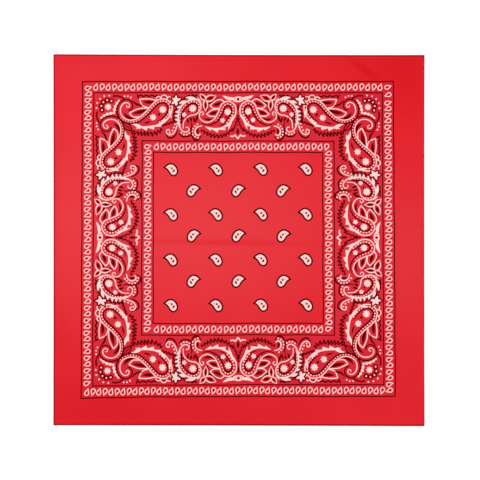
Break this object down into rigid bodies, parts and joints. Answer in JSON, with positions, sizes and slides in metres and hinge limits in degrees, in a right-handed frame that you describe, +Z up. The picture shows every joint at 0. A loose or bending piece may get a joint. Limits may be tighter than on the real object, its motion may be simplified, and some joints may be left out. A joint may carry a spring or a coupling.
{
  "type": "bandana",
  "caption": "Square cotton bandana laid flat, red with a paisley border between rows of drops and small paisleys in the middle field, narrow hems.",
  "frame": {"origin": "middle of the square, on the surface that the cloth lies on", "axes": "+Z up from the printed side, +X to the right of the print, +Y to its top"},
  "size_m": [0.55, 0.5512, 0.0028],
  "materials": {
    "red_cotton": "plain weave thin cotton dyed red, matt with a faint sheen",
    "light_print": "creamy white print, the weave showing through",
    "black_print": "black print line, slightly worn so that red shows in the weave",
    "hem_thread": "red sewing thread"
  },
  "bodies": {
    "root": {"panel": "red_cotton", "hem_left": "red_cotton", "hem_right": "red_cotton", "hem_top": "red_cotton", "hem_bottom": "red_cotton"}
  },
  "joints": []
}
